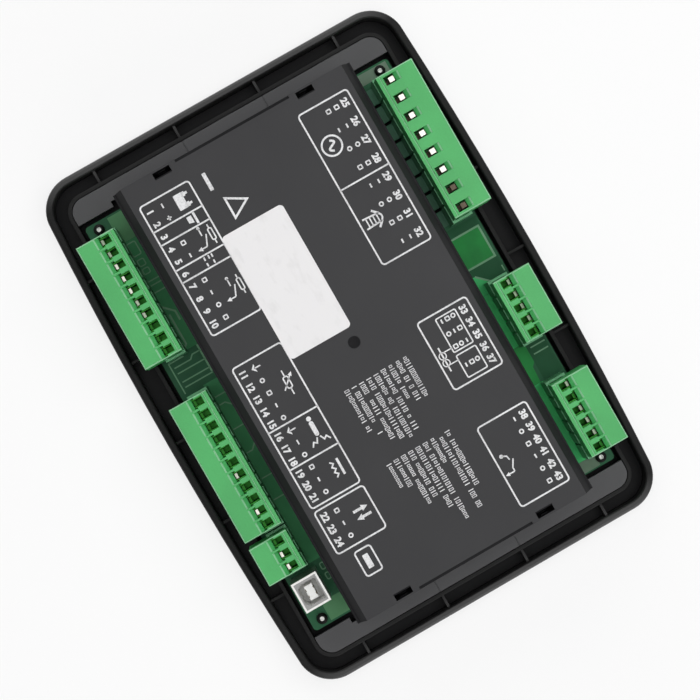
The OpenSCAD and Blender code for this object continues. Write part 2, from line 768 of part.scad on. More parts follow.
front_bezel();
fascia_film();
display_window();
lcd_glass();
lcd_frame();
light_pipes();
indicator_leds();
key_switches();
key_stop();
key_manual();
key_auto();
key_mute();
key_start();
key_up();
key_down();
key_left();
key_right();
main_board();
board_screws();
processor();
output_relays();
power_capacitors();
sensing_transformers();
header_10();
header_11();
header_3();
header_8();
header_5();
header_6();
header_pins();
plug_10();
plug_11();
plug_3();
plug_8();
plug_5();
plug_6();
clamps_10();
clamps_11();
clamps_3();
clamps_8();
clamps_5();
clamps_6();
contacts_10();
contacts_11();
contacts_3();
contacts_8();
contacts_5();
contacts_6();
screws_10();
screws_11();
screws_3();
screws_8();
screws_5();
screws_6();
usb_shell();
usb_insert();
usb_contacts();
rear_cover();
blank_label();
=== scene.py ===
import json
import math

import bmesh
import bpy
from mathutils import Matrix, Vector


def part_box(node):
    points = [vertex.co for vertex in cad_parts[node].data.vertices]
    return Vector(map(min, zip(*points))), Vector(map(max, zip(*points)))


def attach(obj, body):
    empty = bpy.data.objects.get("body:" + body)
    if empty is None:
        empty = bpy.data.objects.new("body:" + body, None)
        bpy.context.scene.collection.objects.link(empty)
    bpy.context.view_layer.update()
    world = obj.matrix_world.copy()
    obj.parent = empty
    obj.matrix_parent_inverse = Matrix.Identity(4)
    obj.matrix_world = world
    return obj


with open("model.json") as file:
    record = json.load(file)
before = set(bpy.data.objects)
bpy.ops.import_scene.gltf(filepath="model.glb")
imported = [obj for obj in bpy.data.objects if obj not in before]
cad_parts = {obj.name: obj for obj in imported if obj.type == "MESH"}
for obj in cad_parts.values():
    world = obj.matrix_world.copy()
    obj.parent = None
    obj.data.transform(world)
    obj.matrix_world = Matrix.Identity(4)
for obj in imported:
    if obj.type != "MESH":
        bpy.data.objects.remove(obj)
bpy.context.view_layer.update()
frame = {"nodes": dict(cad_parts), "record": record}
nodes = frame["nodes"]
mm = 0.001

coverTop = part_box("rear_cover")[1].z / mm
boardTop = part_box("main_board")[1].z / mm

# terminal groups: numbers from first on, the printed row's middle, the frame's ends and its dividers
groups = [
    {"plug": "8", "first": 25, "poles": 8, "spacing": 7.62, "middle": -49.6, "side": 1,
     "ends": (-80.3, -18.7), "dividers": (-49.5,)},
    {"plug": "5", "first": 33, "poles": 5, "spacing": 5.08, "middle": 19.4, "side": 1,
     "ends": (5.5, 33.0), "dividers": ()},
    {"plug": "6", "first": 38, "poles": 6, "spacing": 5.08, "middle": 65.3, "side": 1,
     "ends": (48.8, 81.3), "dividers": ()},
    {"plug": "10", "first": 1, "poles": 10, "spacing": 5.08, "middle": -53.5, "side": -1,
     "ends": (-79.7, -26.9), "dividers": (-69.4, -64.0, -53.6, -48.7)},
    {"plug": "11", "first": 11, "poles": 11, "spacing": 5.08, "middle": 15.9, "side": -1,
     "ends": (-13.2, 44.3), "dividers": (13.2, 28.4)},
    {"plug": "3", "first": 22, "poles": 3, "spacing": 5.08, "middle": 54.2, "side": -1,
     "ends": (45.8, 63.0), "dividers": ()},
]


# shader and geometry trees share these: a wire can be added, scaled and compared like a number

def plugIn(tree, slot, value):
    if isinstance(value, Wire):
        tree.links.new(value.socket, slot)
    elif value is not None:
        isColour = slot.type == "RGBA" and len(value) == 3
        slot.default_value = (*value, 1.0) if isColour else value


class Wire:
    def __init__(self, tree, socket):
        self.tree = tree
        self.socket = socket

    def maths(self, operation, other=None, flip=False):
        made = self.tree.nodes.new("ShaderNodeMath")
        made.operation = operation
        terms = (other, self) if flip else (self, other)
        for slot, term in zip(made.inputs, terms):
            plugIn(self.tree, slot, term)
        return Wire(self.tree, made.outputs[0])

    def __add__(self, other):
        return self.maths("ADD", other)

    def __sub__(self, other):
        return self.maths("SUBTRACT", other)

    def __rsub__(self, other):
        return self.maths("SUBTRACT", other, True)

    def __mul__(self, other):
        return self.maths("MULTIPLY", other)

    def __truediv__(self, other):
        return self.maths("DIVIDE", other)

    def __rtruediv__(self, other):
        return self.maths("DIVIDE", other, True)

    def __gt__(self, other):
        return self.maths("GREATER_THAN", other)

    def __lt__(self, other):
        return self.maths("LESS_THAN", other)

    def __abs__(self):
        return self.maths("ABSOLUTE")

    __radd__ = __add__
    __rmul__ = __mul__


class Graph:
    def __init__(self, tree):
        self.tree = tree

    def node(self, kind, settings=None, sockets=None, output=0):
        made = self.tree.nodes.new(kind)
        for key, value in (settings or {}).items():
            if key == "stops":
                setStops(made.color_ramp, value)
            else:
                setattr(made, key, value)
        for key, value in (sockets or {}).items():
            plugIn(self.tree, made.inputs[key], value)
        return Wire(self.tree, made.outputs[output])


def setStops(ramp, stops):
    while len(ramp.elements) < len(stops):
        ramp.elements.new(0.5)
    for element, (place, grey) in zip(ramp.elements, stops):
        element.position = place
        element.color = (grey, grey, grey, 1)


# a material: constants go straight on the shader's sockets, patterns through nodes

class Finish(Graph):
    def __init__(self, name, **fixed):
        self.material = bpy.data.materials.new(name)
        self.material.use_nodes = True
        super().__init__(self.material.node_tree)
        self.shader = self.tree.nodes["Principled BSDF"]
        self.where = self.node("ShaderNodeTexCoord", output="Object")
        self.set(**fixed)

    def set(self, **values):
        for key, value in values.items():
            plugIn(self.tree, self.shader.inputs[inputNames[key]], value)

    def noise(self, scale, detail=3.0, stretch=None):
        where = self.where
        if stretch:
            where = self.node("ShaderNodeMapping", sockets={"Vector": where, "Scale": stretch})
        return self.node("ShaderNodeTexNoise", sockets={"Vector": where, "Scale": scale, "Detail": detail})

    def ramp(self, value, *stops):
        return self.node("ShaderNodeValToRGB", {"stops": stops}, {"Fac": value})

    def blend(self, share, first, second):
        return self.node("ShaderNodeMix", {"data_type": "RGBA"}, {0: share, 6: first, 7: second}, 2)

    def axes(self):
        split = self.tree.nodes.new("ShaderNodeSeparateXYZ")
        plugIn(self.tree, split.inputs[0], self.where)
        return [Wire(self.tree, out) for out in split.outputs]

    def relief(self, height, strength, edge=0.0, depth=0.02):
        sockets = {"Height": height, "Distance": depth * mm, "Strength": strength}
        if edge:
            sockets["Normal"] = self.node("ShaderNodeBevel", {"samples": 6}, {"Radius": edge * mm})
        return self.node("ShaderNodeBump", sockets=sockets)


inputNames = {
    "colour": "Base Color", "rough": "Roughness", "metal": "Metallic", "normal": "Normal",
    "shine": "Specular IOR Level", "coat": "Coat Weight", "coatRough": "Coat Roughness",
    "clear": "Transmission Weight", "bend": "IOR",
}


# moulded plastics: heights and edges in millimetres, satin is a thin coat between two heights

plasticLook = {
    # above 6 mm the rim and inner wall are painted about twice as light as the trench floor below: painted
    # light on the rim, painted shade in the trench
    "case": {"dark": (0.0060, 0.0060, 0.0065), "light": (0.0095, 0.0095, 0.0100), "grain": 2600.0,
             "rough": (0.40, 0.54), "edge": 0.5, "shine": 0.08,
             "paintedBands": [(6.0, (0.014, 0.014, 0.014), (0.019, 0.019, 0.019))],
             "satin": [(6.0, 20.0, 0.85)], "satinRough": 0.45, "satinEnds": (99.0, 106.0)},
    # below 13.6 mm the end flanges are painted about three times lighter than the cover's sides and top, a
    # painted light
    "cover": {"dark": (0.044, 0.044, 0.047), "light": (0.054, 0.054, 0.057), "grain": 3200.0,
              "rough": (0.44, 0.54), "edge": 0.35, "shine": 0.06,
              "paintedBands": [(13.6, (0.013, 0.013, 0.014), (0.018, 0.018, 0.019)),
                        (42.7, (0.011, 0.011, 0.013), (0.015, 0.015, 0.017))],
              "satin": [(0.0, 13.6, 0.75), (42.7, 50.0, 0.75)], "satinRough": 0.48},
    "plug": {"dark": (0.050, 0.350, 0.094), "light": (0.068, 0.430, 0.120), "grain": 1500.0,
             "rough": (0.36, 0.50), "edge": 0.25, "shine": 0.45,
             # a pale band from 31.5 to 31.97 mm, on the bevels along the plugs' top edges, is a painted
             # highlight
             "paintedBands": [(31.5, (0.210, 0.510, 0.270), (0.280, 0.600, 0.340)),
                       (31.97, (0.050, 0.350, 0.094), (0.068, 0.430, 0.120))]},
    "header": {"dark": (0.100, 0.340, 0.160), "light": (0.140, 0.420, 0.210), "grain": 1500.0,
               "rough": (0.38, 0.52), "edge": 0.2, "shine": 0.45},
    "switch": {"dark": (0.012, 0.012, 0.013), "light": (0.022, 0.022, 0.023), "grain": 2000.0,
               "rough": (0.45, 0.6), "edge": 0.2, "shine": 0.4},
    "relay": {"dark": (0.010, 0.024, 0.090), "light": (0.016, 0.036, 0.120), "grain": 1500.0,
              "rough": (0.35, 0.45), "edge": 0.3, "shine": 0.5},
    "keyGrey": {"dark": (0.42, 0.43, 0.45), "light": (0.50, 0.51, 0.53), "grain": 2400.0,
                "rough": (0.45, 0.58), "edge": 0.3, "shine": 0.45},
    "keyRed": {"dark": (0.42, 0.014, 0.016), "light": (0.52, 0.020, 0.022), "grain": 2400.0,
               "rough": (0.42, 0.55), "edge": 0.3, "shine": 0.45},
    "keyGreen": {"dark": (0.012, 0.20, 0.040), "light": (0.018, 0.26, 0.055), "grain": 2400.0,
                 "rough": (0.42, 0.55), "edge": 0.3, "shine": 0.45},
    "lcdFrame": {"dark": (0.60, 0.61, 0.59), "light": (0.70, 0.71, 0.69), "grain": 1600.0,
                 "rough": (0.45, 0.55), "edge": 0.2, "shine": 0.45},
}


def mouldedPlastic(name):
    look = plasticLook[name]
    finish = Finish(name + "Plastic", shine=look["shine"])
    cloud = finish.noise(38.0, 4.0)  # slow shade changes from the mould's flow
    grain = finish.noise(look["grain"], 2.0)  # spark-eroded texture
    shade = finish.ramp(cloud * 0.75 + grain * 0.25, (0.36, 0), (0.64, 1))
    low, high = look["rough"]
    colour = finish.blend(shade, look["dark"], look["light"])
    x, y, z = finish.axes()
    for above, dark, light in look.get("paintedBands", ()):  # painted light and shade in bands by height, from the bottom up
        colour = finish.blend(z > above * mm, colour, finish.blend(shade, dark, light))
    if "satin" in look:
        satin = sum((z > start * mm) * (z < end * mm) * weight for start, end, weight in look["satin"])
        if "satinEnds" in look:
            inner, outer = look["satinEnds"]
            satin = satin * finish.ramp((abs(x) / mm - inner) / (outer - inner), (0, 0), (1, 1))
        finish.set(coat=satin, coatRough=look["satinRough"])
    finish.set(colour=colour,
               rough=low + (high - low) * finish.ramp(cloud * 0.4 + grain * 0.6, (0.34, 0), (0.66, 1)),
               normal=finish.relief(grain, 0.35, look["edge"], 0.03))
    return finish.material


# metals

metalLook = {
    "plated": {"dark": (0.60, 0.60, 0.58), "light": (0.72, 0.72, 0.70), "rough": (0.24, 0.36)},
    # the gilt is painted dark, as shade on the contacts deep in the socket
    "gilt": {"dark": (0.090, 0.070, 0.040), "light": (0.160, 0.125, 0.070), "rough": (0.24, 0.40)},
}


def brightMetal(name):
    look = metalLook[name]
    finish = Finish(name + "Metal", metal=1.0)
    drawn = finish.noise(900.0, 3.0, (1.0, 1.0, 0.08))  # fine lines along the drawing direction
    stain = finish.noise(260.0, 3.0)
    shade = finish.ramp(drawn * 0.6 + stain * 0.4, (0.35, 0), (0.65, 1))
    low, high = look["rough"]
    finish.set(colour=finish.blend(shade, look["dark"], look["light"]),
               rough=low + (high - low) * shade,
               normal=finish.relief(drawn, 0.25, 0.12))
    return finish.material


# contact strips: some poles get a painted glint at the top; lower down all are painted dark as shade in the
# entries, green as a painted reflection of the plug, brown on plug 8

contactLook = {
    "bright": (0.86, 0.84, 0.76), "shaded": (0.022, 0.120, 0.018), "brown": (0.100, 0.080, 0.060),
    "brownPlugs": ("8",), "fade": 1.0,
    "shares": {  # first and last pole of a run, how strong its painted glint is
        "8": [(0, 5, 1.0)], "10": [(0, 1, 0.3), (2, 4, 0.8), (5, 6, 0.4)], "11": [(6, 6, 0.6), (9, 9, 0.9)],
        "3": [(1, 2, 0.9)], "5": [(0, 3, 0.22)], "6": [(0, 0, 0.3), (2, 4, 0.3)]},
}


def contactMetal(group):
    plug = group["plug"]
    finish = Finish("contactMetal" + plug, metal=1.0)
    x, y, z = finish.axes()
    low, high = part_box("contacts_" + plug)
    pole = (x - (low.x + high.x) / 2) / (group["spacing"] * mm) + group["poles"] / 2
    bright = sum((pole > first) * (pole < last + 1) * share
                 for first, last, share in contactLook["shares"][plug])
    cloud = finish.noise(700.0)
    depth = (high.z - z) / (contactLook["fade"] * mm)
    # painted shade: the strip darkens within about a millimetre below its top
    litTop = finish.ramp(depth + 0.4 * cloud, (0.5, 1), (1.0, 0))
    shaded = contactLook["brown" if plug in contactLook["brownPlugs"] else "shaded"]
    finish.set(colour=finish.blend(bright * litTop, shaded, contactLook["bright"]),
               rough=0.34 + 0.2 * cloud, normal=finish.relief(cloud, 0.2, 0.12))
    return finish.material


# clamp cages: zinc painted dark green, a painted reflection of the green plug round it and painted shade in
# the entries
cageLook = {"dark": (0.030, 0.220, 0.024), "light": (0.070, 0.350, 0.055)}


def cageMetal():
    finish = Finish("cageMetal", metal=1.0)
    cloud = finish.noise(500.0, 4.0)
    finish.set(colour=finish.blend(cloud, cageLook["dark"], cageLook["light"]), rough=0.40 + 0.25 * cloud,
               normal=finish.relief(cloud, 0.3, 0.12))
    return finish.material


# board screws: blackened heads with a bright dot painted in the middle as a highlight
fixingLook = {"head": 4.2, "bare": 0.85, "black": (0.004, 0.005, 0.004), "metal": (0.96, 0.96, 0.94)}


def blackedScrew():
    finish = Finish("blackedScrew", shine=0.1)
    x, y, z = finish.axes()
    low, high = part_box("board_screws")
    half = fixingLook["head"] / 2 * mm
    across = abs(x) - (high.x - half)
    along = abs(y) - (high.y - half)
    # painted highlight: a bright dot in the middle of each head
    bare = (across * across + along * along) < (fixingLook["bare"] * mm) ** 2
    cloud = finish.noise(900.0)
    finish.set(colour=finish.blend(bare, fixingLook["black"], fixingLook["metal"]),
               rough=0.30 + 0.2 * cloud, normal=finish.relief(cloud, 0.3, 0.2))
    return finish.material


# data socket: the shell's plated rim round a face painted dull as shade in the opening, a white tongue in an
# insert painted slightly darker as shade in the cavity
socketLook = {"rim": 0.75, "bright": (0.62, 0.62, 0.60), "shaded": (0.24, 0.24, 0.235),
              "tongue": (2.95, 1.85), "white": (0.88, 0.88, 0.86), "insert": (0.80, 0.80, 0.78)}


def socketFinish(name, inner, outer, halfX, halfY, **fixed):
    finish = Finish(name, **fixed)
    x, y, z = finish.axes()
    low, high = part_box("usb_shell")
    middle = (low + high) / 2
    # painted shade: the shell's face inside its rim, and the insert outside its tongue, take the darker
    # colour
    inside = (abs(x - middle.x) < halfX) * (abs(y - middle.y) < halfY)
    stain = finish.noise(700.0)
    finish.set(colour=finish.blend(inside, outer, inner), rough=0.30 + 0.22 * stain,
               normal=finish.relief(stain, 0.25, 0.12))
    return finish.material


def socketShell():
    low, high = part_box("usb_shell")
    half = (high - low) / 2 - Vector((1, 1, 0)) * socketLook["rim"] * mm
    return socketFinish("socketShell", socketLook["shaded"], socketLook["bright"], half.x, half.y, metal=1.0)


def socketInsert():
    halfX, halfY = (half * mm for half in socketLook["tongue"])
    return socketFinish("socketInsert", socketLook["white"], socketLook["insert"], halfX, halfY, shine=0.4)


# circuit board: solder mask over laminate, with the weave just showing

boardLook = {  # the darker and the lighter shade of each layer
    "mask": ((0.018, 0.085, 0.040), (0.028, 0.125, 0.058)),
    "bare": ((0.010, 0.070, 0.028), (0.015, 0.092, 0.038)),
    # bay, slot and strip are board painted lighter where the cover and the plugs shade it, a painted light
    "bay": ((0.034, 0.185, 0.074), (0.052, 0.255, 0.100)),
    "pour": ((0.014, 0.170, 0.040), (0.020, 0.270, 0.056)),
    "slot": ((0.045, 0.380, 0.125), (0.060, 0.560, 0.160)),
    "strip": ((0.055, 0.150, 0.095), (0.085, 0.210, 0.135)),
    # dusty and corner: paler, greyer board towards the ends, painted light with a painted sheen of the glossy
    # mask
    "dusty": ((0.070, 0.200, 0.090), (0.100, 0.260, 0.125)),
    "corner": ((0.095, 0.150, 0.100), (0.140, 0.205, 0.150)),
    "trace": ((0.130, 0.290, 0.165), (0.200, 0.380, 0.240)),
}
weave = 1250.0  # threads of the laminate per metre


def boardMask(name):
    dark, light = boardLook[name]
    finish = Finish(name + "Board", shine=0.12)
    x, y, z = finish.axes()
    pitch = 2 * math.pi * weave
    warp = (x * pitch).maths("SINE") * (y * pitch).maths("SINE")
    cloud = finish.noise(60.0, 4.0)
    shade = finish.ramp(cloud, (0.35, 0), (0.65, 1))
    finish.set(colour=finish.blend(shade, dark, light), rough=0.42 + 0.14 * cloud,
               normal=finish.relief(warp, 0.2))
    return finish.material


# white paper label with faint rubbed patches

labelLook = {"paper": (0.80, 0.79, 0.795), "rubbed": (0.70, 0.69, 0.69)}


def labelPaper():
    finish = Finish("labelPaper", shine=0.3)
    fibre = finish.noise(1800.0, 5.0, (1.0, 0.45, 1.0))
    smudge = finish.ramp(finish.noise(150.0, 3.0, (1.0, 2.2, 1.0)), (0.55, 0), (0.72, 1))
    finish.set(colour=finish.blend(smudge * 0.5, labelLook["paper"], labelLook["rubbed"]),
               rough=0.52 + 0.16 * fibre, normal=finish.relief(fibre, 0.3, 0.1))
    return finish.material


# screen-print ink, a little thin in places

inkLook = {"full": (0.78, 0.78, 0.79), "thin": (0.52, 0.52, 0.53)}


def printInk():
    finish = Finish("printInk", shine=0.35)
    speck = finish.noise(1400.0, 4.0)
    patchy = finish.ramp(speck * 0.6 + finish.noise(220.0, 3.0) * 0.4, (0.36, 1), (0.56, 0))
    finish.set(colour=finish.blend(patchy, inkLook["full"], inkLook["thin"]), rough=0.50 + 0.18 * speck)
    return finish.material


# front film, clear plastics and display

frontLook = {
    "film": (0.028, 0.030, 0.034), "filmLight": (0.040, 0.043, 0.048),
    "window": (0.86, 0.90, 0.90), "windowRough": 0.03, "pipe": (0.95, 0.95, 0.93), "pipeRough": 0.12,
    "lcdDark": (0.16, 0.21, 0.13), "lcdLight": (0.24, 0.30, 0.19), "lcdCell": 0.6, "lcdFill": 0.9,
}


def frontFilm():
    finish = Finish("frontFilm", shine=0.4)
    grain = finish.noise(3600.0, 2.0)
    cloud = finish.noise(30.0, 3.0)
    finish.set(colour=finish.blend(cloud, frontLook["film"], frontLook["filmLight"]),
               rough=0.40 + 0.20 * grain, normal=finish.relief(grain, 0.3, 0.1))
    return finish.material


def clearPlastic(name):
    finish = Finish(name + "Clear", clear=1.0, bend=1.49, colour=frontLook[name])
    haze = finish.noise(240.0, 3.0)
    finish.set(rough=frontLook[name + "Rough"] + 0.06 * haze, normal=finish.relief(haze, 0.1, 0.2))
    return finish.material


def displayGlass():
    finish = Finish("displayGlass", coat=0.6, coatRough=0.05)
    x, y, z = finish.axes()
    cell = frontLook["lcdCell"] * mm
    across, along = ((axis / cell).maths("FRACT") < frontLook["lcdFill"] for axis in (x, y))
    finish.set(colour=finish.blend(across * along, frontLook["lcdDark"], frontLook["lcdLight"]),
               rough=0.18 + 0.10 * finish.noise(120.0))
    return finish.material


# small parts on the board; the capacitors have a pale stripe
smallLook = {
    "lamp": ((0.80, 0.72, 0.42), (0.88, 0.84, 0.66)),
    "sleeve": (0.012, 0.012, 0.030), "stripe": (0.30, 0.31, 0.34), "stripeAt": -30.0, "stripeHalf": 2.0,
}


def lampBody():
    finish = Finish("lampBody", shine=0.5)
    cloud = finish.noise(900.0)
    finish.set(colour=finish.blend(cloud, *smallLook["lamp"]), rough=0.3 + 0.2 * cloud)
    return finish.material


def capacitorSleeve():
    finish = Finish("capacitorSleeve", coat=0.3, coatRough=0.2)
    x, y, z = finish.axes()
    cloud = finish.noise(300.0)
    stripe = abs(y - smallLook["stripeAt"] * mm) < smallLook["stripeHalf"] * mm
    finish.set(colour=finish.blend(stripe, smallLook["sleeve"], smallLook["stripe"]),
               rough=0.30 + 0.15 * cloud, normal=finish.relief(cloud, 0.2, 0.5))
    return finish.material


plastics = {name: mouldedPlastic(name) for name in plasticLook}
metals = {name: brightMetal(name) for name in metalLook}
boards = {name: boardMask(name) for name in boardLook}
inkFinish = printInk()
filmFinish = frontFilm()
cageFinish = cageMetal()
slotFinish = {
    "case_plastic": plastics["case"], "cover_plastic": plastics["cover"], "film": filmFinish,
    "window": clearPlastic("window"), "lcd": displayGlass(), "lcd_housing": plastics["lcdFrame"],
    "pipe": clearPlastic("pipe"), "led": lampBody(), "dark_part": plastics["switch"], "board": boards["mask"],
    "steel": blackedScrew(), "relay": plastics["relay"], "capacitor": capacitorSleeve(),
    "plated_metal": metals["plated"], "shell": socketShell(), "white_plastic": socketInsert(),
    "gilt": metals["gilt"], "label": labelPaper(), "key_grey": plastics["keyGrey"],
    "key_red": plastics["keyRed"], "key_green": plastics["keyGreen"],
    "header_plastic": plastics["header"], "plug_plastic": plastics["plug"],
}
for part in frame["record"]["subparts"]:
    piece = nodes[part["node"]]
    piece.data.materials.clear()
    piece.data.materials.append(slotFinish[part["material_slot"]])
for group in groups:
    nodes["contacts_" + group["plug"]].data.materials[0] = contactMetal(group)
    nodes["clamps_" + group["plug"]].data.materials[0] = cageFinish
print("finishes:", len(bpy.data.materials))


def linked(name, data):
    made = bpy.data.objects.new(name, data)
    bpy.context.scene.collection.objects.link(made)
    return made


def plainMesh(holder):
    shape = bpy.data.meshes.new_from_object(holder.evaluated_get(bpy.context.evaluated_depsgraph_get()))
    bpy.data.objects.remove(holder)
    return shape


# flat work: filled outlines, lines of even width and numbers, all as thin closed sheets

class Sheet:
    def __init__(self, low, high):
        self.mesh = bmesh.new()
        self.low = low
        self.high = high

    def ring(self, outline, height):
        return [self.mesh.verts.new((x * mm, y * mm, height * mm)) for x, y in outline]

    def plate(self, outline):
        foot, head = self.ring(outline, self.low), self.ring(outline, self.high)
        self.mesh.faces.new(head)
        self.mesh.faces.new(foot[::-1])
        count = len(outline)
        for i in range(count):
            j = (i + 1) % count
            self.mesh.faces.new((foot[i], foot[j], head[j], head[i]))

    def line(self, points, width, closed=False):
        left, right = sidesOf(points, width / 2, closed)
        walls = [self.ring(left, self.low), self.ring(right, self.low),
                 self.ring(right, self.high), self.ring(left, self.high)]
        count = len(points)
        last = count if closed else count - 1
        for i in range(last):
            j = (i + 1) % count
            for a, b in zip(walls, walls[1:] + walls[:1]):
                self.mesh.faces.new((a[i], b[i], b[j], a[j]))
        if not closed:
            self.mesh.faces.new([wall[0] for wall in walls][::-1])
            self.mesh.faces.new([wall[-1] for wall in walls])

    def frame(self, x0, x1, y0, y1, radius, width):
        self.line(roundedBox(x0, x1, y0, y1, radius), width, closed=True)

    def disc(self, x, y, radius, steps=20):
        self.plate(arc(x, y, radius, 0, 360 - 360 / steps, steps - 1))

    def circle(self, x, y, radius, width, steps=32):
        self.line(arc(x, y, radius, 0, 360 - 360 / steps, steps - 1), width, closed=True)

    def arrow(self, tail, tip, width, head):
        run = Vector(tip) - Vector(tail)
        along = run.normalized()
        across = Vector((-along.y, along.x)) * head / 2
        neck = Vector(tip) - along * head
        self.line([tail, tuple(neck)], width)
        self.plate([tip, tuple(neck + across), tuple(neck - across)])

    def number(self, value, x, y, height):
        digits = bpy.data.curves.new("number", "FONT")
        digits.body = str(value)
        digits.align_x = "CENTER"
        digits.offset = digitLook["weight"]
        digits.resolution_u = digitLook["steps"]
        digits.extrude = 0.5
        shape = plainMesh(linked("number", digits))
        size = height / digitLook["rise"]
        squeeze = Matrix.Diagonal((size * mm, size * mm, (self.high - self.low) * mm, 1))
        spot = Vector((x, y - height / 2, (self.low + self.high) / 2)) * mm
        shape.transform(Matrix.Translation(spot) @ squeeze)
        self.mesh.from_mesh(shape)
        bpy.data.meshes.remove(shape)

    def done(self, name, finish, body, slot):
        bmesh.ops.recalc_face_normals(self.mesh, faces=self.mesh.faces)
        shape = bpy.data.meshes.new(name)
        self.mesh.to_mesh(shape)
        self.mesh.free()
        shape.materials.append(finish)
        piece = linked(name, shape)
        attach(piece, body)
        return piece


digitLook = {"rise": 0.73, "weight": 0.045, "steps": 3}  # the font's digits at size 1


def arc(x, y, radius, start, end, steps):
    turns = [math.radians(start + (end - start) * i / steps) for i in range(steps + 1)]
    return [(x + radius * math.cos(t), y + radius * math.sin(t)) for t in turns]


def roundedBox(x0, x1, y0, y1, radius, steps=5):
    spots = ((x1 - radius, y1 - radius), (x0 + radius, y1 - radius),
             (x0 + radius, y0 + radius), (x1 - radius, y0 + radius))
    return [point for i, (x, y) in enumerate(spots)
            for point in arc(x, y, radius, 90 * i, 90 * i + 90, steps)]


def sidesOf(points, half, closed):
    spots = [Vector(point) for point in points]
    left, right = [], []
    for i, spot in enumerate(spots):
        before = spots[i - 1] if closed or i else spot
        after = spots[(i + 1) % len(spots)] if closed or i < len(spots) - 1 else spot
        ways = [way.normalized() for way in (spot - before, after - spot) if way.length > 1e-6]
        along = sum(ways, Vector((0, 0))).normalized()
        across = Vector((-along.y, along.x))
        reach = half / max(0.5, along.dot(ways[0]))
        left.append(tuple(spot + across * reach))
        right.append(tuple(spot - across * reach))
    return left, right


# print on the rear cover

coverPrint = {
    "low": -0.02, "high": 0.03, "line": 0.6, "fine": 0.5, "corner": 1.2,
    "numberRow": 40.05, "numberHeight": 2.5, "frameIn": 22.75, "frameOut": 42.85,
}


def coverSheet():
    return Sheet(coverTop + coverPrint["low"], coverTop + coverPrint["high"])


def printFrames():
    ink = coverSheet()
    for group in groups:
        y0, y1 = sorted(group["side"] * coverPrint[edge] for edge in ("frameIn", "frameOut"))
        ink.frame(*group["ends"], y0, y1, coverPrint["corner"], coverPrint["line"])
        for x in group["dividers"]:
            ink.line([(x, y0), (x, y1)], coverPrint["line"])
    return ink.done("print_frames", inkFinish, "case", "label")


def poleX(number):
    for group in groups:
        step = number - group["first"]
        if 0 <= step < group["poles"]:
            return group["middle"] + (step - (group["poles"] - 1) / 2) * group["spacing"]


def printNumbers():
    ink = coverSheet()
    for group in groups:
        y = group["side"] * coverPrint["numberRow"]
        for number in range(group["first"], group["first"] + group["poles"]):
            ink.number(number, poleX(number), y, coverPrint["numberHeight"])
    return ink.done("print_numbers", inkFinish, "case", "label")


# signs inside the frames, drawn round their own middle

signLine = 0.5
plusLook = {"half": 0.9, "line": 0.55}


def acSign(ink, x, y):
    ink.circle(x, y, 3.7, 0.7)
    ink.line([(x + i * 0.2, y + 1.35 * math.sin(-i * math.pi / 10)) for i in range(-10, 11)], 0.8)


def mastSign(ink, x, y):
    ink.line([(x - 1.9, y - 3.9), (x - 1.6, y + 1.6)] + arc(x, y + 1.6, 1.6, 180, 0, 8)[1:]
             + [(x + 1.9, y - 3.9)], 0.65)
    for rise in (-2.6, -1.2, 0.2, 1.6):
        ink.line([(x - 1.6, y + rise), (x + 1.6, y + rise)], 0.5)
    for side in (-1, 1):
        ink.line([(x + side * 1.4, y + 2.6), (x + side * 3.4, y + 0.6)], 0.8)


def ringCoilSign(ink, x, y):
    ink.line([(x - 4.8, y - 0.9), (x + 4.8, y - 0.9)], 0.6)
    for shift in (-1.4, 1.4):
        ink.circle(x + shift, y - 0.9, 1.3, 0.4, 16)
    for shift in (-2.4, 2.5):
        ink.line([(x + shift, y), (x + shift, y + 3.6)], 0.42)


def contactSign(ink, x, y):
    ink.disc(x - 3.6, y - 1.2, 0.75)
    ink.line([(x - 3.6, y - 1.0), (x - 2.8, y + 0.6), (x - 1.2, y + 0.9)], signLine)
    ink.line([(x - 1.0, y + 2.2), (x + 1.9, y + 0.5), (x + 3.3, y + 0.5)], signLine)
    ink.arrow((x + 3.3, y + 0.5), (x + 3.3, y - 3.2), signLine, 1.6)


def batterySign(ink, x, y):
    ink.plate(roundedBox(x - 3.0, x + 3.0, y - 3.2, y + 0.2, 0.3))
    for side in (-1, 1):
        ink.plate([(x + side * 2.0 + dx, y + dy)
                   for dx, dy in ((-0.9, 0), (0.9, 0), (0.9, 1.1), (0.45, 1.1), (0.45, 2.1), (-0.45, 2.1),
                                  (-0.45, 1.1), (-0.9, 1.1))])


def fuseSign(ink, x, y):
    ink.frame(x - 2.2, x + 2.2, y + 2.4, y + 3.8, 0.5, signLine)
    for side in (-1, 1):
        ink.line([(x + side * 2.2, y + 3.1), (x + side * 3.8, y + 3.1)], signLine)
    ink.disc(x - 4.0, y - 0.4, 0.6)
    ink.line([(x - 4.0, y - 0.4), (x - 1.0, y - 0.4)], signLine)
    ink.line([(x - 0.9, y + 1.2), (x + 3.2, y - 0.6)], signLine)
    ink.arrow((x + 3.2, y - 0.6), (x + 3.2, y - 4.2), signLine, 1.7)


def senderSign(ink, x, y):
    ink.frame(x - 2.2, x + 2.2, y - 0.9, y + 0.9, 0.6, signLine)
    for side in (-1, 1):
        ink.line([(x + side * 2.2, y), (x + side * 4.8, y)], signLine)
    ink.arrow((x + 2.2, y - 2.3), (x - 2.9, y + 2.9), signLine, 1.6)


def pickupSign(ink, x, y):
    ink.plate(roundedBox(x - 3.6, x + 2.2, y - 0.85, y + 0.85, 0.8))
    ink.disc(x - 4.6, y, 0.9)
    for side in (-1, 1):
        ink.line([(x + 2.6, y + side * 0.6), (x + 4.4, y + side * 1.5), (x + 3.6, y + side * 2.6),
                  (x + 5.2, y + side * 3.6)], 0.55)


def busSign(ink, x, y):
    ink.line([(x - 3.2, y + 1.6), (x + 3.2, y + 1.6)], 0.9)
    ink.line([(x - 3.0 + i, y - 1.4 + (i % 2) * 1.1) for i in range(7)], 0.55)


